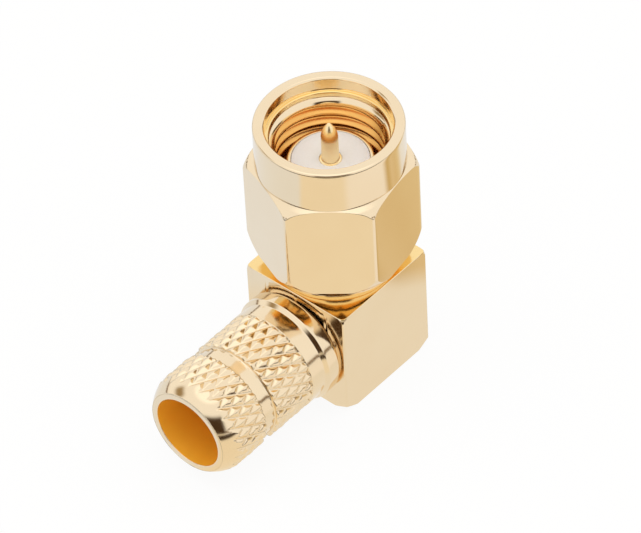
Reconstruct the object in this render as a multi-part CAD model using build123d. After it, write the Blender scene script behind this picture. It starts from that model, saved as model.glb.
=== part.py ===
from build123d import *
from math import cos, hypot, pi, radians, sin, sqrt, tan
import os

# Right-angle coaxial plug with a threaded coupling nut and a knurled crimp stem.
# The origin is the middle of the body block's flat base. The mating interface points along +Z
# and the cable leaves along -Y. All sizes are in millimetres. The round pieces nest: the tube's
# radius sets the insulator and chamber inside it, and the barrel, ring, thread and nut round it.

# Body block
block_width = 6.72
block_height = 6.90
block_edge_radius = 0.10
base_break_radial = 0.55
base_break_height = 0.42
top_break_radial = 0.09
top_break_height = 0.28
turning_overreach = 0.50

# Solder chamber and the cap that closes it
dielectric_ledge = 0.155
chamber_wall = 0.15
cap_lip = 0.45
cap_thickness = 0.70
cap_recess = 0.10
cap_chamfer = 0.12
cap_insulator_thickness = 0.50

# Front shell, which is the outer conductor
neck_setback = 0.16
neck_height = 0.35
barrel_shoulder = 0.435
barrel_length = 4.20
tube_radius = 2.285
tube_wall = 0.22
tube_length = 1.99
tube_edge_break = 0.08
gasket_seat_taper = 0.085
shell_tail_wall = 0.57
dielectric_seat_depth = 0.95

# Silicone gasket round the foot of the tube
gasket_thickness = 0.75
gasket_width = 0.465
gasket_clearance = 0.015
gasket_soft_edge = 0.10

# Front dielectric and centre contact
dielectric_clearance = 0.01
contact_shoulder = 0.175
contact_shoulder_recess = 0.02
pin_radius = 0.46
pin_length = 2.41
pin_nose_length = 0.95
pin_tip_radius = 0.12
pin_nose_fullness = 0.75
solder_head_wall = 0.47
conductor_radius = 0.71
conductor_clearance = 0.02
head_below_conductor = 0.44

# Coupling nut
flat_wall = 0.65
nut_corner_radius = 0.22
nut_turn = 39.3
nut_back_gap = 0.95
hexagon_length = 5.97
collar_wall = 0.615
collar_length = 2.53
collar_edge_break = 0.14
front_chamfer_angle = 30.0
front_round_reach = 0.46
least_chamfer = 0.05
back_ledge = 0.08
back_round_height = 1.13
back_round_rise = 0.10
nut_bore_clearance = 0.08
nut_web_length = 2.90
thread_room = 0.12
relief_depth = 0.41
thread_length = 2.56
lead_in_ledge = 0.20
lead_in_length = 0.31
lead_in_taper = 0.19
mouth_step = 0.10
mouth_depth = 0.81
mouth_edge_break = 0.10

# Split retaining ring that ties the nut to the shell
ring_setback = 1.30
ring_thickness = 0.50
ring_reach = 0.33
ring_groove_depth = 0.36
ring_radial_clearance = 0.02
ring_side_clearance = 0.03
ring_top_room = 0.10
ring_gap = 0.90
nut_float = 0.30

# Crimp stem
cable_bore_radius = 2.10
bore_floor_thickness = 0.60
conductor_passage_radius = 1.35
stem_tail_wall = 0.25
stem_wall = 0.87
undercut_depth = 0.07
undercut_width = 0.20
flange_height = 0.18
flange_width = 0.95
flange_edge_break = 0.08
flange_chamfer = 0.20
land_width = 0.94
back_knurl_length = 2.77
groove_depth = 0.25
groove_width = 0.88
front_knurl_length = 1.90
nose_length = 1.05
nose_round_rise = 0.07
rim_width = 0.34
bore_edge_break = 0.06

# Diamond knurl
knurl_spacing = 0.691
knurl_depth = 0.18
knurl_angle = 29.0

# Radii inside the tube
shell_bore_radius = tube_radius - tube_wall
dielectric_radius = shell_bore_radius - dielectric_clearance
contact_radius = pin_radius + contact_shoulder
conductor_slot_width = 2 * (conductor_radius + conductor_clearance)
solder_head_radius = conductor_slot_width / 2 + solder_head_wall
chamber_radius = dielectric_radius - dielectric_ledge
cap_radius = chamber_radius + cap_lip

# Radii round the tube
shell_tail_radius = dielectric_radius + shell_tail_wall
gasket_seat_radius = tube_radius - gasket_seat_taper
gasket_radius = tube_radius + gasket_width
barrel_radius = tube_radius + barrel_shoulder
ring_groove_radius = barrel_radius - ring_groove_depth
ring_inner_radius = ring_groove_radius + ring_radial_clearance
ring_radius = barrel_radius + ring_reach
nut_bore_radius = barrel_radius + nut_bore_clearance
thread_minor_radius = barrel_radius + thread_room
relief_radius = thread_minor_radius + relief_depth
mouth_radius = relief_radius + mouth_step
lead_in_radius = mouth_radius - lead_in_ledge
collar_radius = mouth_radius + collar_wall
nut_across_flats = 2 * (mouth_radius + flat_wall)

# Radii of the stem
stem_tail_radius = cable_bore_radius + stem_tail_wall
land_radius = cable_bore_radius + stem_wall
flange_radius = land_radius + flange_height
undercut_radius = land_radius - undercut_depth
groove_radius = land_radius - groove_depth
knurl_root_radius = land_radius - knurl_depth
knurl_starts = round(2 * pi * land_radius / knurl_spacing)

# Levels up the interface axis
block_face = block_width / 2
neck_radius = block_face - neck_setback
stem_axis_height = block_height / 2
shell_tail_bottom = stem_axis_height + stem_tail_radius + chamber_wall
dielectric_seat = shell_tail_bottom - dielectric_seat_depth
cap_top = cap_recess + cap_thickness
neck_top = block_height + neck_height
gasket_shoulder = neck_top + barrel_length
tube_foot = gasket_shoulder + gasket_thickness
reference_plane = tube_foot + tube_length
nut_back = neck_top + nut_back_gap
hexagon_front = nut_back + hexagon_length
nut_front = hexagon_front + collar_length
ring_bottom = nut_back + ring_setback
ring_top = ring_bottom + ring_thickness


def turned(*outline):
    """A solid turned about the Z axis from a closed outline of (radius, height) points."""
    points = [(radius, 0, height) for radius, height in outline]
    return revolve(make_face(Polyline(*points, close=True)), Axis.Z)


def drum(radius, bottom, top):
    """A plain cylinder about the Z axis between two heights."""
    return turned((0, bottom), (radius, bottom), (radius, top), (0, top))


def raised_middle(start, end, rise):
    """The middle of an arc that stands out by rise on the right of the way from start to end."""
    chord = (end[0] - start[0], end[1] - start[1])
    share = rise / hypot(*chord)
    return (
        (start[0] + end[0]) / 2 + share * chord[1],
        (start[1] + end[1]) / 2 - share * chord[0],
    )


def arc_through(start, middle, end):
    """An arc in the XZ plane through three (radius, height) points."""
    return ThreePointArc(*((radius, 0, height) for radius, height in (start, middle, end)))


def along_stem(shape):
    """Lay a shape built up +Z along the stem, so that its height is the distance from the axis."""
    return Pos(0, 0, stem_axis_height) * Rot(90, 0, 0) * shape


def right_angle_body():
    """The block: a square bar, turned lightly at both ends and bored from three sides."""
    bar = extrude(RectangleRounded(block_width, block_width, block_edge_radius), block_height)
    corner = hypot(block_face, block_face) - block_edge_radius * (sqrt(2) - 1)
    outside = corner + turning_overreach
    base_slope = base_break_height / base_break_radial
    top_slope = top_break_height / top_break_radial
    turning = turned(
        (0, 0),
        (corner - base_break_radial, 0),
        (outside, base_break_height + turning_overreach * base_slope),
        (outside, block_height - top_break_height - turning_overreach * top_slope),
        (corner - top_break_radial, block_height),
        (0, block_height),
    )
    cap_seat = drum(cap_radius, 0, cap_top)
    chamber = drum(chamber_radius, cap_top, dielectric_seat)
    bead_bore = drum(shell_bore_radius, dielectric_seat, shell_tail_bottom)
    shell_seat = drum(shell_tail_radius, shell_tail_bottom, block_height)
    stem_seat = along_stem(drum(stem_tail_radius, stem_seat_depth(), block_face))
    passage = along_stem(drum(conductor_passage_radius, 0, block_face))
    return (bar & turning) - cap_seat - chamber - bead_bore - shell_seat - stem_seat - passage


def stem_seat_depth():
    """How far from the interface axis the stem's tail seats in the block."""
    return chamber_radius + chamber_wall


def access_cap():
    """The round cap pressed into the base over the solder chamber."""
    return turned(
        (0, cap_recess),
        (cap_radius - cap_chamfer, cap_recess),
        (cap_radius, cap_recess + cap_chamfer),
        (cap_radius, cap_top),
        (0, cap_top),
    )


def cap_insulator():
    """The plastic disc that keeps the cap off the solder joint."""
    return drum(chamber_radius, cap_top, cap_top + cap_insulator_thickness)


def front_shell():
    """The outer conductor: pressed tail, neck, barrel with ring groove, and tube.

    The foot of the tube tapers inwards to its shoulder, so that the gasket can't creep off.
    """
    groove_bottom = ring_bottom - ring_side_clearance
    groove_top = ring_top + nut_float + ring_side_clearance
    return turned(
        (shell_bore_radius, shell_tail_bottom),
        (shell_tail_radius, shell_tail_bottom),
        (shell_tail_radius, block_height),
        (neck_radius, block_height),
        (neck_radius, neck_top),
        (barrel_radius, neck_top),
        (barrel_radius, groove_bottom),
        (ring_groove_radius, groove_bottom),
        (ring_groove_radius, groove_top),
        (barrel_radius, groove_top),
        (barrel_radius, gasket_shoulder),
        (gasket_seat_radius, gasket_shoulder),
        (tube_radius, tube_foot),
        (tube_radius, reference_plane - tube_edge_break),
        (tube_radius - tube_edge_break, reference_plane),
        (shell_bore_radius, reference_plane),
    )


def nut_gasket():
    """The soft ring that the mating jack presses on, tapered inside like the foot of the tube."""
    return turned(
        (gasket_seat_radius + gasket_clearance, gasket_shoulder),
        (gasket_radius, gasket_shoulder),
        (gasket_radius, tube_foot - gasket_soft_edge),
        (gasket_radius - gasket_soft_edge, tube_foot),
        (tube_radius + gasket_clearance, tube_foot),
    )


def front_dielectric():
    """The white insulator that carries the contact, flush with the end of the tube."""
    bead = drum(dielectric_radius, dielectric_seat, reference_plane)
    return bead - drum(contact_radius, dielectric_seat, reference_plane)


def centre_contact():
    """The pin with its bullet nose, its body in the insulator and a slotted solder head."""
    shoulder = reference_plane - contact_shoulder_recess
    tip = reference_plane + pin_length
    nose = tip - pin_nose_length
    head_bottom = stem_axis_height - conductor_radius - head_below_conductor
    slot_top = stem_axis_height + conductor_slot_width / 2
    rod = Polyline(
        (0, 0, tip),
        (0, 0, head_bottom),
        (solder_head_radius, 0, head_bottom),
        (solder_head_radius, 0, dielectric_seat),
        (contact_radius, 0, dielectric_seat),
        (contact_radius, 0, shoulder),
        (pin_radius, 0, shoulder),
        (pin_radius, 0, nose),
    )
    middle_radius = pin_tip_radius + pin_nose_fullness * (pin_radius - pin_tip_radius)
    nose_middle = (middle_radius, 0, tip - pin_nose_length / 2)
    nose_arc = ThreePointArc((pin_radius, 0, nose), nose_middle, (pin_tip_radius, 0, tip))
    tip_flat = Line((pin_tip_radius, 0, tip), (0, 0, tip))
    contact = revolve(make_face(rod + nose_arc + tip_flat), Axis.Z)
    slot_height = slot_top - head_bottom
    slot = Pos(0, 0, head_bottom + slot_height / 2) * Box(
        conductor_slot_width, 2 * solder_head_radius, slot_height
    )
    return contact - slot


def nut_blank():
    """The hexagon with its turned ends, and the round collar in front of it."""
    half_corners = nut_across_flats / sqrt(3)
    turns = [radians(nut_turn + 60 * side) for side in range(6)]
    corners = [(half_corners * cos(turn), half_corners * sin(turn)) for turn in turns]
    hexagon = make_face(Polyline(*corners, close=True))
    hexagon = fillet(hexagon.vertices(), nut_corner_radius)
    bar = Pos(0, 0, nut_back) * extrude(hexagon, hexagon_length)

    outside = half_corners + turning_overreach
    round_start = (nut_across_flats / 2 + back_ledge, nut_back)
    round_end = (half_corners, nut_back + back_round_height)
    back_round = arc_through(round_start, raised_middle(round_start, round_end, back_round_rise), round_end)

    slope = radians(front_chamfer_angle)
    chamfer_length = (half_corners - collar_radius) / cos(slope)
    chamfer_foot = hexagon_front - chamfer_length * sin(slope)
    reach = min(front_round_reach, chamfer_length - least_chamfer)
    front_radius = reach / tan((pi / 2 - slope) / 2)
    side_end = (half_corners, chamfer_foot - reach)
    chamfer_end = (half_corners - reach * cos(slope), chamfer_foot + reach * sin(slope))
    middle_turn = (pi / 2 - slope) / 2
    front_middle = (
        side_end[0] - front_radius * (1 - cos(middle_turn)),
        side_end[1] + front_radius * sin(middle_turn),
    )
    front_round = arc_through(side_end, front_middle, chamfer_end)
    side = Polyline(
        (round_end[0], 0, round_end[1]),
        (outside, 0, round_end[1]),
        (outside, 0, side_end[1]),
        (side_end[0], 0, side_end[1]),
    )
    inside = Polyline(
        (chamfer_end[0], 0, chamfer_end[1]),
        (collar_radius, 0, hexagon_front),
        (0, 0, hexagon_front),
        (0, 0, nut_back),
        (round_start[0], 0, nut_back),
    )
    turning = revolve(make_face(back_round + side + front_round + inside), Axis.Z)
    collar = turned(
        (0, chamfer_foot),
        (collar_radius, chamfer_foot),
        (collar_radius, nut_front - collar_edge_break),
        (collar_radius - collar_edge_break, nut_front),
        (0, nut_front),
    )
    return (bar & turning) + collar


def coupling_nut():
    """The nut, bored for the barrel, the retaining ring, the thread, its lead-in and the wide mouth."""
    mouth_floor = nut_front - mouth_depth
    lead_in_end = mouth_floor - lead_in_length
    thread_front = lead_in_end - lead_in_taper
    thread_back = thread_front - thread_length
    web_front = nut_back + nut_web_length
    groove_radius_in_nut = ring_radius + ring_top_room
    hollow = turned(
        (0, nut_back),
        (nut_bore_radius, nut_back),
        (nut_bore_radius, ring_bottom - ring_side_clearance),
        (groove_radius_in_nut, ring_bottom - ring_side_clearance),
        (groove_radius_in_nut, ring_top + ring_side_clearance),
        (nut_bore_radius, ring_top + ring_side_clearance),
        (nut_bore_radius, web_front),
        (relief_radius, web_front),
        (relief_radius, thread_back),
        (thread_minor_radius, thread_back),
        (thread_minor_radius, thread_front),
        (lead_in_radius, lead_in_end),
        (lead_in_radius, mouth_floor),
        (mouth_radius, mouth_floor),
        (mouth_radius, nut_front - mouth_edge_break),
        (mouth_radius + mouth_edge_break, nut_front),
        (0, nut_front),
    )
    return nut_blank() - hollow


def retaining_ring():
    """The split ring, sprung into the barrel's groove and the nut's groove."""
    ring = drum(ring_radius, ring_bottom, ring_top)
    ring -= drum(ring_inner_radius, ring_bottom, ring_top)
    gap = Pos(ring_radius / 2, 0, (ring_bottom + ring_top) / 2) * Box(
        ring_radius + ring_thickness, ring_gap, ring_thickness
    )
    return ring - gap


def knurled_band(start, end):
    """A closed band of cut diamonds: peaks and groove crossings alternate on a grid round the axis."""
    columns = 2 * knurl_starts
    half_pitch = pi * land_radius / knurl_starts
    row_height = half_pitch / tan(radians(knurl_angle))
    rows = max(2, round((end - start) / row_height))

    def point(column, row):
        is_peak = (column + row) % 2 == 1 and 0 < row < rows
        radius = land_radius if is_peak else knurl_root_radius
        turn = 2 * pi * (column % columns) / columns
        height = start + (end - start) * row / rows
        return (radius * cos(turn), radius * sin(turn), height)

    facets = []
    for row in range(rows):
        for column in range(columns):
            near = [point(column, row), point(column + 1, row)]
            far = [point(column + 1, row + 1), point(column, row + 1)]
            if (column + row) % 2 == 0:
                facets += [(near[0], near[1], far[0]), (near[0], far[0], far[1])]
            else:
                facets += [(near[0], near[1], far[1]), (near[1], far[0], far[1])]
    ends = [[point(column, row) for column in range(columns)] for row in (0, rows)]
    faces = [Face(Wire.make_polygon(corners, close=True)) for corners in facets + ends]
    return Solid(Shell(faces))


def crimp_stem():
    """The stem: pressed tail, flange, plain land and two knurled bands with a groove between."""
    flange_start = block_face + undercut_width
    land_start = flange_start + flange_width
    back_knurl_start = land_start + land_width
    groove_start = back_knurl_start + back_knurl_length
    front_knurl_start = groove_start + groove_width
    nose_start = front_knurl_start + front_knurl_length
    stem_end = nose_start + nose_length
    rim_radius = cable_bore_radius + rim_width

    shank = turned(
        (0, stem_seat_depth()),
        (stem_tail_radius, stem_seat_depth()),
        (stem_tail_radius, block_face),
        (undercut_radius, block_face),
        (undercut_radius, flange_start),
        (flange_radius - flange_edge_break, flange_start),
        (flange_radius, flange_start + flange_edge_break),
        (flange_radius, land_start - flange_chamfer),
        (land_radius, land_start),
        (land_radius, back_knurl_start),
        (0, back_knurl_start),
    )
    back_band = knurled_band(back_knurl_start, groove_start)
    groove = drum(groove_radius, groove_start, front_knurl_start)
    nose_top = (land_radius, nose_start)
    rim = (rim_radius, stem_end)
    nose_round = arc_through(nose_top, raised_middle(nose_top, rim, nose_round_rise), rim)
    nose_rest = Polyline(
        (rim_radius, 0, stem_end),
        (0, 0, stem_end),
        (0, 0, front_knurl_start),
        (land_radius + knurl_depth, 0, front_knurl_start),
        (land_radius + knurl_depth, 0, nose_start),
        (land_radius, 0, nose_start),
    )
    nose_turning = revolve(make_face(nose_round + nose_rest), Axis.Z)
    front_band = knurled_band(front_knurl_start, stem_end) & nose_turning
    cable_bore = turned(
        (0, stem_seat_depth() + bore_floor_thickness),
        (cable_bore_radius, stem_seat_depth() + bore_floor_thickness),
        (cable_bore_radius, stem_end - bore_edge_break),
        (cable_bore_radius + bore_edge_break, stem_end),
        (0, stem_end),
    )
    passage = drum(conductor_passage_radius, 0, stem_end)
    stem = shank + back_band + groove + front_band - cable_bore - passage
    return along_stem(stem)


pieces = {
    "right_angle_body": right_angle_body,
    "access_cap": access_cap,
    "cap_insulator": cap_insulator,
    "front_shell": front_shell,
    "nut_gasket": nut_gasket,
    "front_dielectric": front_dielectric,
    "centre_contact": centre_contact,
    "coupling_nut": coupling_nut,
    "retaining_ring": retaining_ring,
    "crimp_stem": crimp_stem,
}

os.makedirs("parts", exist_ok=True)
for name, make in pieces.items():
    export_step(make(), f"parts/{name}.step")
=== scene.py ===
from math import ceil, cos, pi, radians, sin, sqrt, tan

import bmesh
import bpy
import numpy as np
from mathutils import Matrix, Vector


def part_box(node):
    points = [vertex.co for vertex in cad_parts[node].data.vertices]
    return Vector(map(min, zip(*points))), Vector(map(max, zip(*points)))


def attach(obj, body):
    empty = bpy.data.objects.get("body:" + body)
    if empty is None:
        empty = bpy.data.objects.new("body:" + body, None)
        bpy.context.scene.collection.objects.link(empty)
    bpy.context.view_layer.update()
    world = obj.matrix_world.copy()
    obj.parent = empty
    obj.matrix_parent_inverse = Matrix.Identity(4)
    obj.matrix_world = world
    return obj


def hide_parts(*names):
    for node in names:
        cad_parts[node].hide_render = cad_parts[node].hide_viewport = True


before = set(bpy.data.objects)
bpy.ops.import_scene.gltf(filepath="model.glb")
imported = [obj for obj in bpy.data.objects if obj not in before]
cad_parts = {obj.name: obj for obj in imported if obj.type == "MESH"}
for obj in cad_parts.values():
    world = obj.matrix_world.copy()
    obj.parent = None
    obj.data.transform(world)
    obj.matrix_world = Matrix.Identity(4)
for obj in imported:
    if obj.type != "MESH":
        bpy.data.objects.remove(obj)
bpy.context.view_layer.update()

# A right-angle coaxial plug: square block, hexagon coupling nut with a threaded mouth, white
# insulator and centre pin, and a knurled crimp stem. Shapes are worked out in millimetres in the
# CAD's frame and put into the meshes in metres, where points closer than weld_distance are one.
MM = 0.001
MICRON = 1e-6
weld_distance = 1e-8


def box_mm(node):
    """The lowest and highest corner of a CAD node, in millimetres."""
    return [np.array(corner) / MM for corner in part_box(node)]


_, block_high = box_mm("right_angle_body")
cap_low, cap_high = box_mm("access_cap")
shell_low, shell_high = box_mm("front_shell")
gasket_low, gasket_high = box_mm("nut_gasket")
bead_low, bead_high = box_mm("front_dielectric")
contact_low, contact_high = box_mm("centre_contact")
nut_low, nut_high = box_mm("coupling_nut")
stem_low, stem_high = box_mm("crimp_stem")

# Sizes shared by several pieces, in millimetres. A support is how far from a rounded edge a
# straight side gets one more row, so that the side is shaded flat right up to the edge.
edge_ease = 0.035
round_columns = 160
flat_steps = 26
corner_steps = 8
chamber_radius = 1.90
barrel_radius = 2.72
shell_bore_radius = 2.065
shell_tail_radius = 2.625
cable_bore_radius = 2.10
passage_radius = 1.35
stem_tail_radius = 2.35
contact_body_radius = 0.59

# Body block
block_face = block_high[0]
block_top = block_high[2]
block_edge_radius = 0.10
base_break = (0.55, 0.42)
top_break = (0.09, 0.28)
cap_edge_break = 0.12

# Outer conductor
tube_radius = 2.285
tube_foot_radius = 2.20
tube_edge_break = 0.06
barrel_length = 4.20
ring_groove_in_shell = (2.36, 1.27, 2.13)
gasket_bore_foot = 2.215
gasket_bore_top = 2.30
gasket_ease = 0.12

# Coupling nut
nut_back = nut_low[2]
nut_front = nut_high[2]
nut_apothem = 4.00
nut_corner_radius = 0.22
nut_turn = radians(39.3)
collar_radius = 3.965
collar_length = 2.53
collar_edge_break = 0.14
collar_support = 0.30
front_chamfer = radians(30)
front_round_reach = 0.46
chamfer_ease = 0.16
back_ledge = 0.08
back_round_height = 1.13
back_round_bulge = 0.10
back_round_rows = 9
chamfer_rows = 9
nut_bore_radius = 2.80
nut_web_length = 2.90
relief_radius = 3.25
mouth_radius = 3.35
mouth_depth = 0.81
lead_in_radius = 3.15
lead_in_length = 0.31
lead_in_taper = 0.19
mouth_edge_break = 0.10
mouth_ease = 0.08
rim_ease = 0.06
floor_ease = 0.03
ring_groove_in_nut = (3.15, 1.27, 1.83)

# Coupling thread, 1/4 inch with 36 turns to the inch
thread_pitch = 25.4 / 36
thread_major_radius = 3.175
thread_minor_radius = 2.84
thread_length = 2.56
thread_crest = 0.17
thread_flank = 0.19
thread_ease = 0.035
thread_run_out = 0.35

# Crimp stem, with lengths along the stem from the interface axis
stem_height = (stem_low[2] + stem_high[2]) / 2
stem_end = -stem_low[1]
stem_tail_end = -stem_high[1]
flange_radius = stem_high[0]
flange_start = 3.56
flange_chamfer = 0.20
land_start = 4.51
back_knurl_start = 5.45
groove_start = 8.22
front_knurl_start = 9.10
nose_start = 11.00
nose_round_rise = 0.07
undercut_radius = 2.90
land_radius = 2.97
groove_radius = 2.72
groove_fillet = 0.09
flange_edge_ease = 0.07
flange_chamfer_ease = 0.09
land_foot_ease = 0.06
flange_support = 0.16
land_support = 0.14
groove_support = 0.22
rim_radius = 2.44
bore_floor = 2.65
knurl_starts = 27
knurl_depth = 0.18
knurl_angle = radians(29)
knurl_columns = 16
knurl_valley_ease = 0.01
second_cut = 0.75
knurl_rows_per_mm = 18


def rounded_outline(corners, radii, steps=3):
    """A closed outline with its corners rounded.

    corners is (K, N, 2): K corners of the outline in each of N columns. An arc starts and ends
    at C + t a and C + t b, with a and b the directions to the neighbours and t the radius times
    the tangent of half the turn, at most 0.45 of the shorter side. Between them it is
    ((1-s)^2 A + 2 s (1-s) w C + s^2 B) / ((1-s)^2 + 2 s (1-s) w + s^2), a circle's arc when w
    is the cosine of half the turn.
    """
    least_length, sharpest_bend = 1e-9, 0.999999
    corners = np.asarray(corners, float)
    before = np.roll(corners, 1, axis=0) - corners
    after = np.roll(corners, -1, axis=0) - corners
    before_length = np.linalg.norm(before, axis=2, keepdims=True)
    after_length = np.linalg.norm(after, axis=2, keepdims=True)
    a = before / np.maximum(before_length, least_length)
    b = after / np.maximum(after_length, least_length)
    bend = np.clip((a * b).sum(axis=2, keepdims=True), -1, sharpest_bend)
    radii = np.asarray(radii, float).reshape(-1, 1, 1)
    t = radii * np.sqrt((1 + bend) / (1 - bend))
    t = np.minimum(t, 0.45 * np.minimum(before_length, after_length))
    w = np.sqrt((1 - bend) / 2)
    s = np.linspace(0, 1, steps + 1).reshape(1, -1, 1, 1)
    start, end, corner, w = (x[:, None] for x in (corners + t * a, corners + t * b, corners, w))
    top = (1 - s) ** 2 * start + 2 * s * (1 - s) * w * corner + s ** 2 * end
    rows = top / ((1 - s) ** 2 + 2 * s * (1 - s) * w + s ** 2)
    return rows.reshape(-1, corners.shape[1], 2)


def outline(columns, *corners):
    """A (K, N, 2) outline from (radius, height) pairs, each a number or one value per column."""
    pairs = [[np.broadcast_to(value, columns) for value in pair] for pair in corners]
    return np.array(pairs).transpose(0, 2, 1)


def rounded_polygon(sides, apothem, corner_radius, turn):
    """Columns round a regular polygon with rounded corners: their angle and distance from the axis.

    A corner's arc stands on the corner's direction at (apothem - corner_radius) / cos(pi / sides),
    and the flats are straight between the arcs.
    """
    half_turn = pi / sides
    corner_angle = turn + 2 * half_turn * np.arange(sides)
    arc_angle = corner_angle[:, None] + np.linspace(-half_turn, half_turn, corner_steps + 1)
    centre = (apothem - corner_radius) / cos(half_turn) * np.exp(1j * corner_angle)[:, None]
    arc = centre + corner_radius * np.exp(1j * arc_angle)
    share = np.linspace(0, 1, flat_steps + 1)[1:-1]
    flat = arc[:, -1:] * (1 - share) + np.roll(arc[:, :1], -1, axis=0) * share
    points = np.concatenate([arc, flat], axis=1).ravel()
    return np.angle(points), np.abs(points)


def grid_faces(rows, columns, seam=None):
    """Quads of a grid that closes on itself both ways. seam[i] is the row of the first column that
    row i meets where the columns close, for a screw thread; without one it is row i itself."""
    seam = np.arange(rows) if seam is None else seam
    row, column = np.meshgrid(np.arange(rows), np.arange(columns), indexing="ij")
    next_row = (row + 1) % rows
    last = column == columns - 1
    near = row * columns + column
    far = next_row * columns + column
    near_next = np.where(last, seam[row] * columns, near + 1)
    far_next = np.where(last, seam[next_row] * columns, far + 1)
    return np.stack([near, far, far_next, near_next], axis=-1).reshape(-1, 4)


def signed_volume(points, quads):
    """Six times the volume inside a closed surface, below zero if its faces point inwards."""
    a, b, c, d = (points[quads[:, side]] for side in range(4))
    return (np.cross(a, b) * c).sum() + (np.cross(a, c) * d).sum()


def new_piece(name, points, quads, materials, finish=0):
    """A piece whose points, in millimetres, are welded where they meet and whose faces point outwards.
    finish gives each face the number of its material."""
    if signed_volume(points, quads) < 0:
        quads = quads[:, ::-1]
    mesh = bpy.data.meshes.new(name)
    mesh.from_pydata(points * MM, [], quads.tolist())
    for material in materials:
        mesh.materials.append(material)
    mesh.polygons.foreach_set("material_index", np.broadcast_to(finish, len(quads)).astype(np.int32))
    shape = bmesh.new()
    shape.from_mesh(mesh)
    bmesh.ops.remove_doubles(shape, verts=shape.verts, dist=weld_distance)
    bmesh.ops.dissolve_degenerate(shape, edges=shape.edges, dist=weld_distance)
    shape.to_mesh(mesh)
    shape.free()
    mesh.shade_smooth()
    piece = bpy.data.objects.new(name, mesh)
    bpy.context.scene.collection.objects.link(piece)
    return piece


def turned_piece(name, rows, angles, materials, seam=None, row_material=0):
    """A piece turned about the Z axis: each row's (radius, height), carried round the angles.
    row_material gives each row of faces the number of its material."""
    rows = np.broadcast_to(rows, (rows.shape[0], len(angles), 2))
    radius, height = rows[..., 0], rows[..., 1]
    points = np.stack([radius * np.cos(angles), radius * np.sin(angles), height], axis=-1)
    quads = grid_faces(rows.shape[0], len(angles), seam)
    finish = np.repeat(np.broadcast_to(row_material, rows.shape[0]), len(angles))
    return new_piece(name, points.reshape(-1, 3), quads, materials, finish)


def lay_along_stem(piece):
    """Lay a piece turned about Z along the stem: its height becomes the distance along -Y."""
    piece.data.transform(Matrix.Translation((0, 0, stem_height * MM)) @ Matrix.Rotation(pi / 2, 4, "X"))


def carve(piece, cutter):
    """Cut the cutter's shape out of the piece and remove the cutter."""
    cut = piece.modifiers.new("bore", "BOOLEAN")
    cut.operation = "DIFFERENCE"
    cut.solver = "EXACT"
    cut.object = cutter
    bpy.context.view_layer.update()
    carved = bpy.data.meshes.new_from_object(piece.evaluated_get(bpy.context.evaluated_depsgraph_get()))
    piece.modifiers.clear()
    piece.data = carved
    bpy.data.objects.remove(cutter)


def finish_piece(piece, body, slot, *nodes):
    """Even out the shading over the flats, and put the piece on its body in place of its CAD nodes."""
    shading = piece.modifiers.new("even shading", "WEIGHTED_NORMAL")
    shading.weight = 100
    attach(piece, body)
    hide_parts(*nodes)


def circle(columns=round_columns):
    """Evenly spaced angles round the axis."""
    return np.arange(columns) * 2 * pi / columns


def plain_turning(name, corners, material, ease=edge_ease, steps=3, columns=round_columns):
    """A turned piece from its closed outline of (radius, height) corners, each eased a little."""
    rows = rounded_outline(outline(1, *corners), [ease] * len(corners), steps)
    return turned_piece(name, rows, circle(columns), [material])


# Colours and shader nodes


def linear(hex_colour):
    """A linear colour from an sRGB hex value."""
    channels = [int(hex_colour[i:i + 2], 16) / 255 for i in (1, 3, 5)]
    return [c / 12.92 if c <= 0.04045 else ((c + 0.055) / 1.055) ** 2.4 for c in channels] + [1]


def add_node(tree, kind, links=None, **settings):
    """A node with its settings and inputs. Each key of links is an input, its value a number or a socket."""
    node = tree.nodes.new(kind)
    for key, value in settings.items():
        setattr(node, key, value)
    for key, value in (links or {}).items():
        if isinstance(value, bpy.types.NodeSocket):
            tree.links.new(value, node.inputs[key])
        else:
            node.inputs[key].default_value = value
    return node


def start_material(name):
    """An empty material's node tree, its output and the coordinates of the piece itself."""
    material = bpy.data.materials.new(name)
    material.use_nodes = True
    tree = material.node_tree
    tree.nodes.clear()
    output = add_node(tree, "ShaderNodeOutputMaterial")
    place = add_node(tree, "ShaderNodeTexCoord").outputs["Object"]
    return material, tree, output, place


# A wave texture's period at a scale of one, and the sizes of the plating's grain and haze
wave_period = 0.314
plating_grain_mm = 0.35
plating_haze_mm = 2.2


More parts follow.
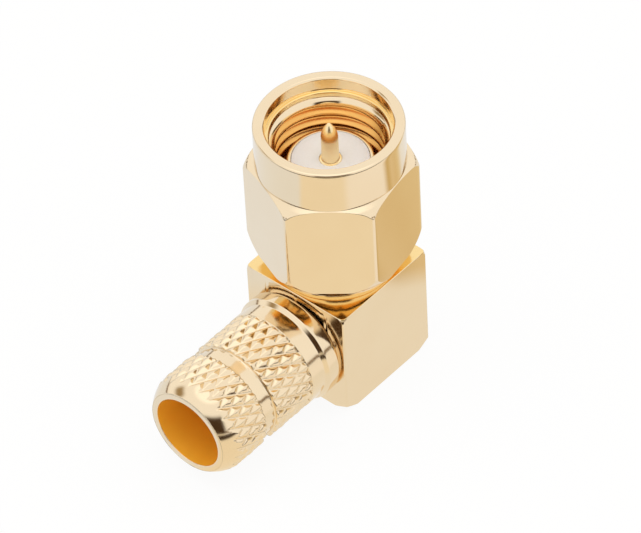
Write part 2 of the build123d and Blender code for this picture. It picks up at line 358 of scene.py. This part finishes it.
def plated_metal(name, colour, deep_colour, roughness, lay, feed_mm, mark_um, metallic=1.0):
    """Gold plated over machined brass: a bright warm mirror that is not quite one.

    The plating follows the tool marks below it, rings at the feed of the cut, and has a faint
    grain of its own. Both are drawn about twice as coarse as real ones so that they show. A wide
    haze shifts the colour and the gloss a little from place to place. Bare spring metal is the
    same, only browner and duller.
    """
    material, tree, output, place = start_material(name)
    rings = add_node(
        tree, "ShaderNodeTexWave",
        {"Vector": place, "Scale": wave_period / (feed_mm * MM), "Distortion": 0.6, "Detail": 2.0,
         "Detail Scale": 0.4},
        wave_type="BANDS", bands_direction=lay,
    )
    grain = add_node(
        tree, "ShaderNodeTexNoise", {"Vector": place, "Scale": 1 / (plating_grain_mm * MM), "Detail": 4.0}
    )
    marks = add_node(
        tree, "ShaderNodeMix", {"Factor": 0.35, "A": rings.outputs["Fac"], "B": grain.outputs["Fac"]},
        data_type="FLOAT",
    )
    bump = add_node(
        tree, "ShaderNodeBump",
        {"Height": marks.outputs["Result"], "Distance": mark_um * MICRON, "Strength": 1.0},
    )
    haze = add_node(
        tree, "ShaderNodeTexNoise", {"Vector": place, "Scale": 1 / (plating_haze_mm * MM), "Detail": 3.0}
    )
    tone = add_node(
        tree, "ShaderNodeMix",
        {"Factor": haze.outputs["Fac"], "A": linear(colour), "B": linear(deep_colour)},
        data_type="RGBA",
    )
    gloss = add_node(
        tree, "ShaderNodeMapRange",
        {"Value": haze.outputs["Fac"], "To Min": roughness * 0.8, "To Max": roughness * 1.25},
    )
    shader = add_node(
        tree, "ShaderNodeBsdfPrincipled",
        {"Base Color": tone.outputs["Result"], "Metallic": metallic, "Roughness": gloss.outputs["Result"],
         "Normal": bump.outputs["Normal"]},
    )
    tree.links.new(shader.outputs["BSDF"], output.inputs["Surface"])
    return material


def soft_solid(name, colour, deep_colour, roughness, grain_mm, mark_um, subsurface, bleed_mm):
    """A moulded or turned soft solid, such as waxy white fluoropolymer or silicone rubber. A fine
    grain breaks up its gloss, and light bleeds a little way into it, which softens its edges."""
    material, tree, output, place = start_material(name)
    grain = add_node(
        tree, "ShaderNodeTexNoise", {"Vector": place, "Scale": 1 / (grain_mm * MM), "Detail": 5.0}
    )
    tone = add_node(
        tree, "ShaderNodeMix",
        {"Factor": grain.outputs["Fac"], "A": linear(colour), "B": linear(deep_colour)},
        data_type="RGBA",
    )
    bump = add_node(
        tree, "ShaderNodeBump",
        {"Height": grain.outputs["Fac"], "Distance": mark_um * MICRON, "Strength": 1.0},
    )
    shader = add_node(
        tree, "ShaderNodeBsdfPrincipled",
        {"Base Color": tone.outputs["Result"], "Roughness": roughness, "Normal": bump.outputs["Normal"],
         "Subsurface Weight": subsurface, "Subsurface Radius": (1.0, 0.9, 0.8),
         "Subsurface Scale": bleed_mm * MM},
    )
    tree.links.new(shader.outputs["BSDF"], output.inputs["Surface"])
    return material


# Every gold is the same pale plating. Where a face mostly mirrors other gold, the photo's colour is
# deeper or lighter than one shade gives, so the thread, the faced ends, the mouth and the
# contact have their own: the deeper golds are painted reflection and shade, the lighter ones painted light.
gold_on_turned_nut = plated_metal("gold plated turned nut", "#f6e2c1", "#f3dcb8", 0.10, "Z", 0.10, 0.25)
# Deeper gold for the thread: painted reflection and shade.
gold_painted_deep_thread = plated_metal("gold plated thread, painted deep reflection", "#f8c274", "#f4b45e", 0.22, "Z", 0.12, 0.3)
gold_on_block = plated_metal("gold plated milled block", "#f6e2c1", "#f3dcb8", 0.12, "Z", 0.16, 0.25)
# Deeper gold for the flat ends: painted reflection of the gold around them.
gold_painted_deep_end = plated_metal("gold plated end, painted deep reflection", "#fde0a4", "#fbd892", 0.13, "Z", 0.10, 0.3)
# Lighter gold for the mouth's wall: painted light.
gold_painted_light_mouth = plated_metal("gold plated mouth, painted light", "#ffe8bc", "#fde2b0", 0.13, "Z", 0.10, 0.3)
gold_on_stem = plated_metal("gold plated knurled stem", "#f6e2c1", "#f3dcb8", 0.12, "Y", 0.10, 0.25)
# The bore's deep orange is painted reflection of light bounced round inside it. It scatters light almost
# like paint, which keeps it even.
gold_painted_deep_bore = plated_metal(
    "gold plated bore, painted deep reflection", "#ffc83f", "#fbbc34", 0.40, "Y", 0.14, 0.6, metallic=0.4
)
# Lighter gold for the contact: painted light.
gold_painted_light_contact = plated_metal("gold contact, painted light", "#ffeabc", "#fde2ac", 0.27, "Z", 0.08, 0.2)
spring_bronze = plated_metal("drawn spring bronze", "#d8a878", "#c08f60", 0.25, "Z", 0.12, 0.4)
white_fluoropolymer = soft_solid("turned white ptfe", "#efece8", "#e8e4de", 0.42, 0.12, 1.0, 0.25, 0.3)
red_silicone = soft_solid("moulded silicone rubber", "#9a4a34", "#84392a", 0.55, 0.10, 1.5, 0.1, 0.2)


# The pieces


def body_block():
    """The square block. Each column's outline runs from the axis side out to the square's own
    distance R, where the base is cut at z = slope (R - base limit) and the top likewise, so the
    turned cuts only touch the corners. The top face is turned flat and painted a deeper gold,
    painted reflection of the nut above it, and the rest is milled."""
    angles, reach = rounded_polygon(4, block_face, block_edge_radius, pi / 4)
    corner = block_face * sqrt(2) - block_edge_radius * (sqrt(2) - 1)
    base_limit, top_limit = corner - base_break[0], corner - top_break[0]
    base_rise = np.maximum((reach - base_limit) * base_break[1] / base_break[0], edge_ease)
    top_drop = np.maximum((reach - top_limit) * top_break[1] / top_break[0], edge_ease)
    seat_bottom, bead_seat, cap_top = shell_low[2], bead_low[2], cap_high[2]
    corners = outline(
        len(angles),
        (cap_high[0], 0),
        (np.minimum(reach - edge_ease, base_limit), 0),
        (reach, base_rise),
        (reach, block_top - top_drop),
        (np.minimum(reach - edge_ease, top_limit), block_top),
        (shell_tail_radius, block_top),
        (shell_tail_radius, seat_bottom),
        (shell_bore_radius, seat_bottom),
        (shell_bore_radius, bead_seat),
        (chamber_radius, bead_seat),
        (chamber_radius, cap_top),
        (cap_high[0], cap_top),
    )
    steps, top_corner = 3, 4
    rows = rounded_outline(corners, [edge_ease] * len(corners), steps)
    # The top face's rows take the deeper gold: painted reflection of the nut above.
    top_face = np.where(np.arange(len(rows)) // (steps + 1) == top_corner, 1, 0)
    block_materials = [gold_on_block, gold_painted_deep_end]
    block = turned_piece("body_block", rows, angles, block_materials, row_material=top_face)
    beyond_face = block_face + 1
    shaft = plain_turning(
        "stem seat cutter",
        [(0, 0), (passage_radius, 0), (passage_radius, stem_tail_end),
         (stem_tail_radius, stem_tail_end), (stem_tail_radius, beyond_face), (0, beyond_face)],
        gold_on_block, ease=0, steps=1,
    )
    lay_along_stem(shaft)
    carve(block, shaft)
    finish_piece(block, "plug_body", "gold_plated_brass", "right_angle_body")


def base_cap():
    """The round cap in the base, with its broken edge."""
    radius, bottom, top = cap_high[0], cap_low[2], cap_high[2]
    cap = plain_turning(
        "base_cap",
        [(0, bottom), (radius - cap_edge_break, bottom), (radius, bottom + cap_edge_break),
         (radius, top), (0, top)],
        gold_on_block,
    )
    finish_piece(cap, "plug_body", "gold_plated_brass", "access_cap")


def outer_shell():
    """The outer conductor: neck, barrel with its ring groove, tapered foot and tube."""
    neck_radius, bottom, front = shell_high[0], shell_low[2], shell_high[2]
    shoulder, tube_foot = gasket_low[2], gasket_high[2]
    neck_top = shoulder - barrel_length
    ring_seat_radius, groove_low, groove_high = ring_groove_in_shell
    groove_bottom, groove_top = nut_back + groove_low, nut_back + groove_high
    shell = plain_turning(
        "outer_shell",
        [(shell_bore_radius, bottom), (shell_tail_radius, bottom), (shell_tail_radius, block_top),
         (neck_radius, block_top), (neck_radius, neck_top), (barrel_radius, neck_top),
         (barrel_radius, groove_bottom), (ring_seat_radius, groove_bottom),
         (ring_seat_radius, groove_top), (barrel_radius, groove_top), (barrel_radius, shoulder),
         (tube_foot_radius, shoulder), (tube_radius, tube_foot), (tube_radius, front - tube_edge_break),
         (tube_radius - tube_edge_break, front), (shell_bore_radius, front)],
        gold_on_turned_nut, ease=0.025,
    )
    finish_piece(shell, "plug_body", "gold_plated_brass", "front_shell")


def gasket():
    """The soft ring round the tapered foot of the tube, its free edges well rounded."""
    bottom, top, radius = gasket_low[2], gasket_high[2], gasket_high[0]
    ring = plain_turning(
        "gasket_ring",
        [(gasket_bore_foot, bottom), (radius, bottom), (radius, top), (gasket_bore_top, top)],
        red_silicone, ease=gasket_ease, steps=5,
    )
    finish_piece(ring, "plug_body", "silicone", "nut_gasket")


def insulator():
    """The white bead, eased where it was parted off."""
    bottom, top, radius = bead_low[2], bead_high[2], bead_high[0]
    bead = plain_turning(
        "insulator_bead",
        [(contact_body_radius, bottom), (radius, bottom), (radius, top), (contact_body_radius, top)],
        white_fluoropolymer, ease=0.05, steps=4,
    )
    finish_piece(bead, "plug_body", "white_ptfe", "front_dielectric")


def contact():
    """The contact: solder head, body, and a pin whose nose is an ogive.

    The nose's radius falls from the pin's to the tip's as 1 - s^fullness, s from 0 to 1 along it.
    The head's slot is in the CAD only, because the block hides it.
    """
    tip, head_bottom, head_radius = contact_high[2], contact_low[2], contact_high[0]
    pin_radius, tip_radius, nose_length, fullness = 0.46, 0.09, 1.04, 2.4
    shoulder_recess = 0.02
    shoulder = bead_high[2] - shoulder_recess
    along = np.linspace(0, 1, 13)
    nose_radius = tip_radius + (pin_radius - tip_radius) * (1 - along ** fullness)
    nose = list(zip(nose_radius, tip - nose_length + nose_length * along))
    corners = [
        (0, head_bottom), (head_radius, head_bottom), (head_radius, bead_low[2]),
        (contact_body_radius, bead_low[2]), (contact_body_radius, shoulder), (pin_radius, shoulder),
        *nose, (0, tip),
    ]
    pin = plain_turning("contact_pin", corners, gold_painted_light_contact, ease=0.02, steps=2, columns=96)
    finish_piece(pin, "plug_body", "gold_plated_contact", "centre_contact")


def thread_rows(angles, back, front):
    """Rows that follow the thread from its back to its front, and how they meet at the seam.

    A row of turn count p lies at height back + pitch (p - 1 + angle / 2 pi), so crests and roots
    are grid lines. p stops where the height would leave the thread's length. The radius is the
    thread's profile at p, eased by averaging it over a short window, and the groove runs out to
    nothing at the front.
    """
    profile_at = np.cumsum([0, thread_crest, thread_flank, thread_pitch - thread_crest - 2 * thread_flank])
    profile_radius = [thread_minor_radius, thread_minor_radius, thread_major_radius, thread_major_radius]
    ease = thread_ease * np.array([-1, 0, 1])
    within_pitch = (profile_at[:, None] + ease).ravel() / thread_pitch
    turns = ceil((front - back) / thread_pitch) + 2
    count = (np.arange(turns)[:, None] + within_pitch).ravel()
    start = 1 - angles / (2 * pi)
    count = np.clip(count[:, None], start, start + (front - back) / thread_pitch)
    window = thread_ease * np.linspace(-1, 1, 5)
    samples = [np.interp(count * thread_pitch + shift, profile_at, profile_radius, period=thread_pitch)
               for shift in window]
    height = back + thread_pitch * (count - start)
    run_out = np.clip((front - height) / thread_run_out, 0, 1)
    radius = thread_minor_radius + (np.mean(samples, axis=0) - thread_minor_radius) * run_out
    return np.stack([radius, height], axis=-1), len(within_pitch)


def coupling_nut():
    """The coupling nut, from the back face out over the hexagon, in at the mouth and down the thread.

    Each column's outline follows the hexagon's own distance R from the axis: the back is turned
    to the arc z = c - sqrt(r^2 - (R - a)^2), and the front to a 30 degree cone that rounds over
    into the sides near the corners. The thread's rows follow its helix.
    """
    angles, reach = rounded_polygon(6, nut_apothem, nut_corner_radius, nut_turn)
    order = np.argsort(angles % (2 * pi))
    angles, reach = (angles % (2 * pi))[order], reach[order]
    columns = len(angles)
    mouth_floor = nut_front - mouth_depth
    thread_front = mouth_floor - lead_in_length - lead_in_taper
    junction = nut_front - collar_length
    half_corners = nut_apothem / cos(pi / 6)
    chord = np.array([half_corners - nut_apothem - back_ledge, back_round_height])
    chord_length = np.linalg.norm(chord)
    outward = np.array([chord[1], -chord[0]]) / chord_length
    arc_radius = chord_length ** 2 / (8 * back_round_bulge) + back_round_bulge / 2
    arc_start = np.array([nut_apothem + back_ledge, nut_back])
    centre = arc_start + chord / 2 + outward * (back_round_bulge - arc_radius)
    round_from = np.minimum(arc_start[0], reach - edge_ease)
    share = np.linspace(0, 1, back_round_rows)[:, None]
    round_radius = round_from + (reach - round_from) * share
    depth = np.sqrt(arc_radius ** 2 - (np.maximum(round_radius, arc_start[0]) - centre[0]) ** 2)
    round_height = np.maximum(centre[1] - depth, nut_back + edge_ease * share)
    half_turn = (pi / 2 - front_chamfer) / 2
    front_radius = front_round_reach / tan(half_turn)
    foot = junction - (half_corners - collar_radius) * tan(front_chamfer)
    round_begin = half_corners - front_round_reach * cos(front_chamfer)
    chamfer_radius = reach + (collar_radius - reach) * np.linspace(0, 1, chamfer_rows + 1)[:-1, None]
    beyond = np.clip(chamfer_radius - half_corners + front_radius, 0, front_radius)
    chamfer_height = np.where(
        chamfer_radius > round_begin,
        foot - front_round_reach + np.sqrt(front_radius ** 2 - beyond ** 2),
        junction - (chamfer_radius - collar_radius) * tan(front_chamfer),
    )

    outside_corners = outline(
        columns,
        (nut_bore_radius, nut_back),
        *zip(round_radius, round_height),
        *zip(chamfer_radius, chamfer_height),
        (collar_radius, junction),
        (collar_radius, nut_front - collar_support),
        (collar_radius, nut_front),
        (mouth_radius + mouth_edge_break, nut_front),
        (mouth_radius, nut_front - mouth_edge_break),
        (mouth_radius, mouth_floor),
        (lead_in_radius, mouth_floor),
        (lead_in_radius, mouth_floor - lead_in_length),
        (thread_minor_radius, thread_front),
    )
    thread_back = thread_front - thread_length
    ring_seat_radius, groove_low, groove_high = ring_groove_in_nut
    inside_corners = outline(
        columns,
        (relief_radius, thread_back),
        (relief_radius, nut_back + nut_web_length),
        (nut_bore_radius, nut_back + nut_web_length),
        (nut_bore_radius, nut_back + groove_high),
        (ring_seat_radius, nut_back + groove_high),
        (ring_seat_radius, nut_back + groove_low),
        (nut_bore_radius, nut_back + groove_low),
    )
    all_corners = np.concatenate([outside_corners, inside_corners])
    # The outside's last seven corners are the rim, two at the mouth's edge, two at its floor, the
    # lead-in's foot and the thread's front.
    radii = [edge_ease] * len(all_corners)
    radii[len(outside_corners) - 7:len(outside_corners)] = [
        collar_edge_break, rim_ease, rim_ease, floor_ease, mouth_ease, mouth_ease, 0
    ]
    radii[1 + len(round_radius)] = chamfer_ease
    steps = 4
    per_corner = steps + 1
    rows = rounded_outline(all_corners, radii, steps)
    split = len(outside_corners) * per_corner
    thread, per_turn = thread_rows(angles, thread_back, thread_front)
    thread = thread[::-1]
    first = split - per_corner
    rows = np.concatenate([rows[:first], thread, rows[split:]])
    seam = np.arange(len(rows))
    last = first + len(thread) - 1
    seam[first:last + 1] = np.maximum(seam[first:last + 1] - per_turn, first)
    # A corner's last row starts the face that leaves it. The mouth's wall is bored and painted a
    # lighter gold, painted light; its floor, the lead-in's wall and the back are faced and painted a
    # deeper gold, painted reflection; and all that lies inside from the thread on is threaded and
    # painted the thread's deeper gold, painted reflection and shade.
    turned, painted_deep_thread, painted_deep_end, painted_light_mouth = range(4)
    row_material = np.full(len(rows), turned)
    row_material[first:] = painted_deep_thread
    row_material[first - 4 * per_corner:first - per_corner] = painted_deep_end
    row_material[first - 4 * per_corner:first - 3 * per_corner + 2] = painted_light_mouth
    row_material[:2 * per_corner - 1] = painted_deep_end
    nut = turned_piece(
        "hexagon_coupling_nut", rows, angles,
        [gold_on_turned_nut, gold_painted_deep_thread, gold_painted_deep_end, gold_painted_light_mouth], seam, row_material,
    )
    finish_piece(nut, "nut", "gold_plated_nut", "coupling_nut")


def knurled_radius(angles, along):
    """The radius of the diamond knurl. Two families of grooves run round the stem as right and left
    helices. Each family's ridges are |sin| arches with their valleys eased, the second family cuts
    less deep than the first, and the surface is the lower of the two."""
    lead = 2 * pi * land_radius / tan(knurl_angle)
    turn = angles / (2 * pi)
    waves = [knurl_starts * (turn + way * along / lead) for way in (-1, 1)]
    deep, shallow = [np.sqrt(np.sin(pi * wave) ** 2 + knurl_valley_ease) for wave in waves]
    height = np.minimum(deep, 1 - second_cut * (1 - shallow))
    return land_radius - knurl_depth * (1 - height)


def knurled_rows(angles, start, end):
    """Rows of knurled surface between two places along the stem."""
    along = np.linspace(start, end, int(ceil((end - start) * knurl_rows_per_mm)) + 1)[:, None]
    radius = knurled_radius(angles, along)
    return np.stack([radius, np.broadcast_to(along, radius.shape)], axis=-1)


def nose_radius(along):
    """The rounded nose: the arc c + sqrt(R^2 - (y - d)^2) from the ridges' height down to the rim,
    standing out from its chord by the rise."""
    start, end = np.array([land_radius, nose_start]), np.array([rim_radius, stem_end])
    chord = end - start
    length = np.linalg.norm(chord)
    outward = np.array([chord[1], -chord[0]]) / length
    arc_radius = length ** 2 / (8 * nose_round_rise) + nose_round_rise / 2
    centre = start + chord / 2 + outward * (nose_round_rise - arc_radius)
    nose = centre[0] + np.sqrt(arc_radius ** 2 - (along - centre[1]) ** 2)
    return np.where(along > nose_start, nose, land_radius)


def groove_rows(columns):
    """Rows of the groove between the bands: a fillet, the plain bottom and a fillet again."""
    top = groove_radius + 2 * groove_fillet
    corners = outline(
        columns, (top, groove_start), (groove_radius, groove_start),
        (groove_radius, groove_start + groove_support),
        (groove_radius, front_knurl_start - groove_support),
        (groove_radius, front_knurl_start), (top, front_knurl_start),
    )
    steps = 5
    rows = rounded_outline(corners, [0, groove_fillet, 0, 0, groove_fillet, 0], steps)
    return rows[steps + 1:-steps - 1]


def crimp_stem():
    """The stem: tail, undercut, flange, plain land, two knurled bands with a groove between, and a
    rounded nose that the knurl runs out on, then the bore back to its floor."""
    angles = circle(knurl_starts * knurl_columns)
    columns = len(angles)
    flange_end = land_start - flange_chamfer
    shank = [
        (stem_tail_radius, stem_tail_end), (stem_tail_radius, block_face), (undercut_radius, block_face),
        (undercut_radius, flange_start), (flange_radius, flange_start),
        (flange_radius, flange_start + flange_support), (flange_radius, flange_end - flange_support),
        (flange_radius, flange_end), (land_radius, land_start),
        (land_radius, land_start + land_support), (land_radius, back_knurl_start),
    ]
    inside = [
        (rim_radius, stem_end), (cable_bore_radius, stem_end), (cable_bore_radius, bore_floor),
        (passage_radius, bore_floor), (passage_radius, stem_tail_end),
    ]
    # A stand-in corner keeps the place of the knurled bands, whose rows take the place of its own.
    corners = outline(columns, *shank, (groove_radius, back_knurl_start + 1), *inside)
    steps = 3
    per_corner = steps + 1
    radii = [edge_ease] * len(corners)
    radii[4:9] = [flange_edge_ease, 0, 0, flange_chamfer_ease, land_foot_ease]
    rows = rounded_outline(corners, radii, steps)
    shank_rows = rows[:len(shank) * per_corner]
    inside_rows = rows[(len(shank) + 1) * per_corner:]
    front_band = knurled_rows(angles, front_knurl_start, stem_end)
    front_band[..., 0] = np.minimum(front_band[..., 0], nose_radius(front_band[..., 1]))
    back_band = knurled_rows(angles, back_knurl_start, groove_start)
    stem_rows = np.concatenate([shank_rows, back_band, groove_rows(columns), front_band, inside_rows])
    # The drilled bore's deep orange, painted reflection, starts with the face that leaves the bore's edge.
    row_material = np.zeros(len(stem_rows), int)
    row_material[2 * per_corner - 1 - len(inside_rows):] = 1
    stem = turned_piece(
        "knurled_crimp_stem", stem_rows, angles, [gold_on_stem, gold_painted_deep_bore], row_material=row_material
    )
    lay_along_stem(stem)
    finish_piece(stem, "plug_body", "gold_plated_brass", "crimp_stem")


def dress(node, material):
    """Give a CAD node that stays its own finish."""
    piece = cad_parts[node]
    if not piece.material_slots:
        piece.data.materials.append(material)
    for material_slot in piece.material_slots:
        material_slot.material = material


body_block()
base_cap()
outer_shell()
gasket()
insulator()
contact()
coupling_nut()
crimp_stem()
dress("cap_insulator", white_fluoropolymer)
dress("retaining_ring", spring_bronze)


# Floor, light and camera

image_width = 641
focal_length_px = 5543.8
camera_distance = 293.067 * MM
view_azimuth, view_elevation, view_roll = radians(43.053), radians(44.92), radians(-3.223)
target_right, target_up = -0.885 * MM, 0.879 * MM
target_height = 5 * MM

lamp_distance = 0.40
lamp_size = 0.40
lamp_aim_height = 8 * MM

# The tent as the metal sees it: each window's middle and half size as (azimuth, elevation) in
# degrees, its soft edge, its colour and its strength. In turn: the lit roof, a dim lamp stand, the
# dark foot where the tent meets the table, and the dark front where the camera stands. The tent's
# light on what isn't a mirror is weaker.
tent_windows = (
    ((0, 82), (190, 18), 5, "#ffffff", 1.25),
    ((-153, 32), (13, 9), 6, "#a08a64", 1),
    ((0, 1.5), (190, 2.2), 1, "#7a6040", 1),
    ((-46, 13), (24, 22), 5, "#46331f", 1),
)
tent_light = 0.72

# The table as the metal sees it: its tint by the azimuth round the plug in degrees, white close to
# the plug, and a dark band across the front. The tints are painted light and shadow: the cool white
# is painted cool light, and the tan to the right is the plug's painted shadow, warmed by painted
# gold light bounced off the plug. The band's middle is a distance along its azimuth, and
# inner and outer are its half widths where it is full and where it has faded out.
table_light_and_shadow_tints = (
    (-180, "#eef3fb"), (-94, "#eef3fb"), (-88, "#f6edd9"), (-34, "#f6edd9"), (-24, "#fbf8f4"),
    (28, "#fbf8f4"), (37, "#d0b67e"), (45, "#e4d0a8"), (54, "#dfc99c"), (62, "#e6d4aa"),
    (72, "#f2f4f6"), (180, "#eef3fb"),
)
near_start, near_end = 9 * MM, 10.5 * MM
band_azimuth = radians(-50)
band_middle, band_inner, band_outer = 60 * MM, 29 * MM, 35 * MM
camera_white_share = 0.92
table_half, table_level = 1.5, -0.02 * MM


def view_axes():
    """The camera's right, up and backward directions."""
    back = Vector((sin(view_azimuth) * cos(view_elevation), -cos(view_azimuth) * cos(view_elevation),
                   sin(view_elevation)))
    level = Vector((cos(view_azimuth), sin(view_azimuth), 0))
    upright = back.cross(level)
    right = level * cos(view_roll) + upright * sin(view_roll)
    up = upright * cos(view_roll) - level * sin(view_roll)
    return right, up, back


def place_camera():
    """The camera at the photograph's angle, distance and focal length."""
    right, up, back = view_axes()
    data = bpy.data.cameras.new("camera")
    data.sensor_width = 36
    data.lens = focal_length_px * data.sensor_width / image_width
    data.clip_start, data.clip_end = 0.01, 10
    camera = bpy.data.objects.new("camera", data)
    target = Vector((0, 0, target_height)) + right * target_right + up * target_up
    camera.matrix_world = Matrix.Translation(target + back * camera_distance) @ Matrix(
        (right, up, back)
    ).transposed().to_4x4()
    bpy.context.scene.collection.objects.link(camera)
    bpy.context.scene.camera = camera


def softbox(name, azimuth, elevation, watts):
    """A square soft lamp aimed at the plug from a compass direction and a height angle. The metal
    doesn't mirror it, because the tent's lit roof stands for it there."""
    direction = Vector((cos(azimuth) * cos(elevation), sin(azimuth) * cos(elevation), sin(elevation)))
    data = bpy.data.lights.new(name, "AREA")
    data.shape = "SQUARE"
    data.size = lamp_size
    data.energy = watts
    lamp = bpy.data.objects.new(name, data)
    lamp.visible_glossy = False
    lamp.location = direction * lamp_distance + Vector((0, 0, lamp_aim_height))
    lamp.rotation_euler = direction.to_track_quat("Z", "Y").to_euler()
    bpy.context.scene.collection.objects.link(lamp)


def zone(tree, azimuth, elevation, middle, half_size, soft):
    """How far a direction lies inside a soft-edged window of the tent: 1 in it and 0 outside. The
    middle, half size and soft edge are angles in degrees, azimuth first."""
    shares = []
    for angle, centre, half in zip((azimuth, elevation), middle, half_size):
        away = add_node(tree, "ShaderNodeMath", {0: angle, 1: radians(centre)}, operation="SUBTRACT")
        size = add_node(tree, "ShaderNodeMath", {0: away.outputs["Value"]}, operation="ABSOLUTE")
        share = add_node(
            tree, "ShaderNodeMapRange",
            {"Value": size.outputs["Value"], "From Min": radians(half + soft),
             "From Max": radians(half - soft)},
            interpolation_type="SMOOTHSTEP",
        )
        shares.append(share.outputs["Result"])
    both = add_node(tree, "ShaderNodeMath", {0: shares[0], 1: shares[1]}, operation="MULTIPLY")
    return both.outputs["Value"]


def compass(tree, direction):
    """The azimuth of a direction, and the elevation of one whose length is 1, in radians."""
    parts = add_node(tree, "ShaderNodeSeparateXYZ", {"Vector": direction})
    azimuth = add_node(
        tree, "ShaderNodeMath", {0: parts.outputs["Y"], 1: parts.outputs["X"]}, operation="ARCTAN2"
    )
    elevation = add_node(tree, "ShaderNodeMath", {0: parts.outputs["Z"]}, operation="ARCSINE")
    return azimuth.outputs["Value"], elevation.outputs["Value"]


def plain_world():
    """A white tent. The camera sees it plain white, and it lights the plug with white light. Only
    what the metal mirrors has the tent's windows in it."""
    world = bpy.data.worlds.new("white tent")
    bpy.context.scene.world = world
    world.use_nodes = True
    tree = world.node_tree
    tree.nodes.clear()
    azimuth, elevation = compass(tree, add_node(tree, "ShaderNodeTexCoord").outputs["Generated"])
    shade = linear("#ffffff")
    for middle, half_size, soft, colour, bright in tent_windows:
        inside = zone(tree, azimuth, elevation, middle, half_size, soft)
        tone = [bright * channel for channel in linear(colour)]
        mix = add_node(
            tree, "ShaderNodeMix", {"Factor": inside, "A": shade, "B": tone}, data_type="RGBA"
        )
        shade = mix.outputs["Result"]
    path = add_node(tree, "ShaderNodeLightPath")
    mirror = add_node(
        tree, "ShaderNodeMath",
        {0: path.outputs["Is Glossy Ray"], 1: path.outputs["Is Transmission Ray"]},
        operation="MAXIMUM",
    )
    seen = add_node(
        tree, "ShaderNodeMix", {"Factor": mirror.outputs["Value"], "A": linear("#ffffff"), "B": shade},
        data_type="RGBA",
    )
    shown = add_node(
        tree, "ShaderNodeMath", {0: mirror.outputs["Value"], 1: path.outputs["Is Camera Ray"]},
        operation="MAXIMUM",
    )
    strength = add_node(
        tree, "ShaderNodeMapRange", {"Value": shown.outputs["Value"], "To Min": tent_light, "To Max": 1.0}
    )
    background = add_node(
        tree, "ShaderNodeBackground",
        {"Color": seen.outputs["Result"], "Strength": strength.outputs["Result"]},
    )
    output = add_node(tree, "ShaderNodeOutputWorld")
    tree.links.new(background.outputs["Background"], output.inputs["Surface"])


def plain_floor():
    """A white table. The camera sees it almost white, with the plug's faint shadow kept. In the
    metal it shows painted light and shadow in place of its own: a cool white, painted cool light, to
    the left and behind, a warm tint and a dark band in front, and to the right a tan that is the
    plug's painted shadow, warmed by painted gold light bounced off the plug."""
    material, tree, output, place = start_material("matt white table")
    lit = add_node(tree, "ShaderNodeBsdfDiffuse", {"Color": linear("#f0eeea")})
    white = add_node(tree, "ShaderNodeEmission", {"Color": linear("#ffffff"), "Strength": 1.0})
    azimuth, _ = compass(tree, place)
    turn = add_node(tree, "ShaderNodeMapRange", {"Value": azimuth, "From Min": -pi, "From Max": pi})
    # Painted light and shadow round the plug: cool light, a warm tint and the plug's tan painted shadow.
    tint = add_node(tree, "ShaderNodeValToRGB", {"Fac": turn.outputs["Result"]})
    stops = tint.color_ramp.elements
    stops.remove(stops[1])
    stops[0].color = linear(table_light_and_shadow_tints[0][1])
    for degrees_round, colour in table_light_and_shadow_tints[1:]:
        stops.new((degrees_round + 180) / 360).color = linear(colour)
    distance = add_node(tree, "ShaderNodeVectorMath", {0: place}, operation="LENGTH")
    near = add_node(
        tree, "ShaderNodeMapRange",
        {"Value": distance.outputs["Value"], "From Min": near_start, "From Max": near_end},
    )
    around = add_node(
        tree, "ShaderNodeMix",
        {"Factor": near.outputs["Result"], "A": linear("#f2efe8"), "B": tint.outputs["Color"]},
        data_type="RGBA",
    )
    forward = add_node(
        tree, "ShaderNodeVectorMath", {0: place, 1: (cos(band_azimuth), sin(band_azimuth), 0)},
        operation="DOT_PRODUCT",
    )
    band_offset = add_node(
        tree, "ShaderNodeMath", {0: forward.outputs["Value"], 1: band_middle}, operation="SUBTRACT"
    )
    band_distance = add_node(tree, "ShaderNodeMath", {0: band_offset.outputs["Value"]}, operation="ABSOLUTE")
    front = add_node(
        tree, "ShaderNodeMapRange",
        {"Value": band_distance.outputs["Value"], "From Min": band_outer, "From Max": band_inner},
        interpolation_type="SMOOTHSTEP",
    )
    table_tone = add_node(
        tree, "ShaderNodeMix",
        {"Factor": front.outputs["Result"], "A": around.outputs["Result"], "B": linear("#3a2a1c")},
        data_type="RGBA",
    )
    mirrored = add_node(tree, "ShaderNodeEmission", {"Color": table_tone.outputs["Result"], "Strength": 1.0})
    path = add_node(tree, "ShaderNodeLightPath")
    share = add_node(
        tree, "ShaderNodeMath", {0: path.outputs["Is Camera Ray"], 1: camera_white_share},
        operation="MULTIPLY",
    )
    plain = add_node(
        tree, "ShaderNodeMixShader",
        {"Fac": share.outputs["Value"], 1: lit.outputs["BSDF"], 2: white.outputs["Emission"]},
    )
    shader = add_node(
        tree, "ShaderNodeMixShader",
        {"Fac": path.outputs["Is Glossy Ray"], 1: plain.outputs["Shader"], 2: mirrored.outputs["Emission"]},
    )
    tree.links.new(shader.outputs["Shader"], output.inputs["Surface"])
    mesh = bpy.data.meshes.new("table")
    signs = ((-1, -1), (1, -1), (1, 1), (-1, 1))
    mesh.from_pydata([(x * table_half, y * table_half, table_level) for x, y in signs], [], [(0, 1, 2, 3)])
    mesh.materials.append(material)
    table = bpy.data.objects.new("table", mesh)
    bpy.context.scene.collection.objects.link(table)


place_camera()
plain_world()
plain_floor()
softbox("key", radians(-120), radians(70), 0.53)
softbox("fill", radians(30), radians(65), 0.50)

bpy.context.scene.view_settings.view_transform = "Standard"
